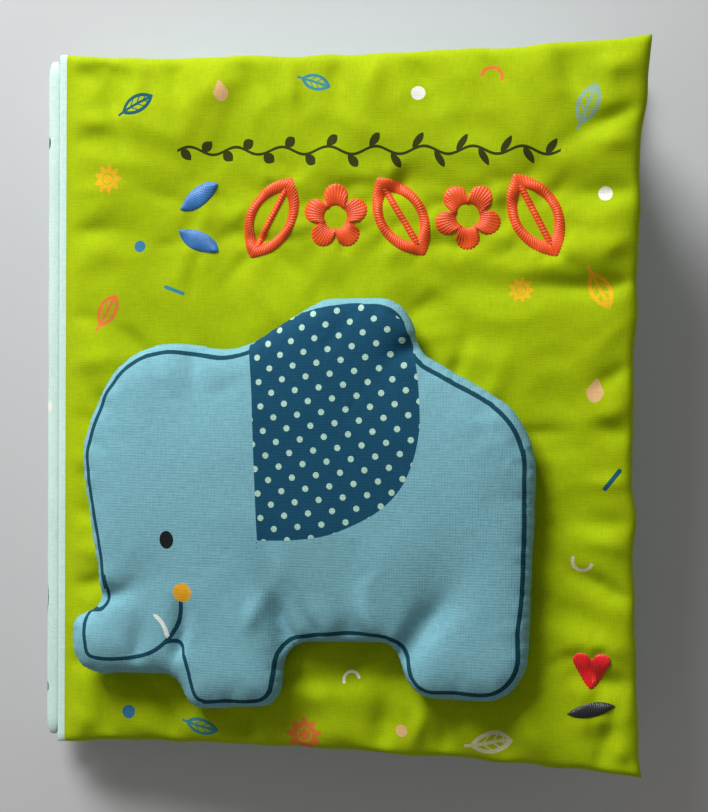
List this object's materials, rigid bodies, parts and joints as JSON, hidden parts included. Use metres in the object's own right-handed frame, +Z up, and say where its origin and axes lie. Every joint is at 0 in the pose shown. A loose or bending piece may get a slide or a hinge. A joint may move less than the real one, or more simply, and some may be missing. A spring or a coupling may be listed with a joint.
{
  "type": "cloth book",
  "caption": "Soft padded cloth book with a sewn spine, padded leaves between two hinged covers, a stuffed elephant and stitched leaf and blossom motifs on the front.",
  "frame": {"origin": "bottom centre of the resting book's bounding box, on the table it lies on", "axes": "+X from the spine to the fore-edge, +Y from tail to head, +Z up through the front cover"},
  "size_m": [0.1802, 0.21, 0.0551],
  "materials": {
    "cover_cloth": "lime printed woven cotton over soft padding, turned and sewn edges",
    "spine_cloth": "pale mint printed woven cotton",
    "leaf_cloth": "pale printed woven cotton over thin padding",
    "elephant_cloth": "pale blue printed woven cotton, stuffed",
    "orange_thread": "glossy rayon satin stitch",
    "blue_thread": "glossy rayon satin stitch",
    "red_thread": "glossy rayon satin stitch",
    "dark_thread": "black rayon satin stitch"
  },
  "bodies": {
    "back_cover": {"back_cover": "cover_cloth"},
    "book_block": {"pages": "leaf_cloth", "spine": "spine_cloth"},
    "front_cover": {"front_cover": "cover_cloth", "elephant": "elephant_cloth", "orange_leaf_1": "orange_thread", "orange_blossom_2": "orange_thread", "orange_leaf_3": "orange_thread", "orange_blossom_4": "orange_thread", "orange_leaf_5": "orange_thread", "blue_leaf_1": "blue_thread", "blue_leaf_2": "blue_thread", "red_heart": "red_thread", "dark_leaf": "dark_thread"}
  },
  "joints": [
    {"name": "back_cover_hinge", "type": "hinge", "parent": "back_cover", "child": "book_block", "pos_m": [-0.0859, 0, 0.004], "axis": [0, -1, 0], "range_deg": [0, 150]},
    {"name": "front_cover_hinge", "type": "hinge", "parent": "book_block", "child": "front_cover", "pos_m": [-0.0859, 0, 0.013], "axis": [0, -1, 0], "range_deg": [0, 155]}
  ]
}
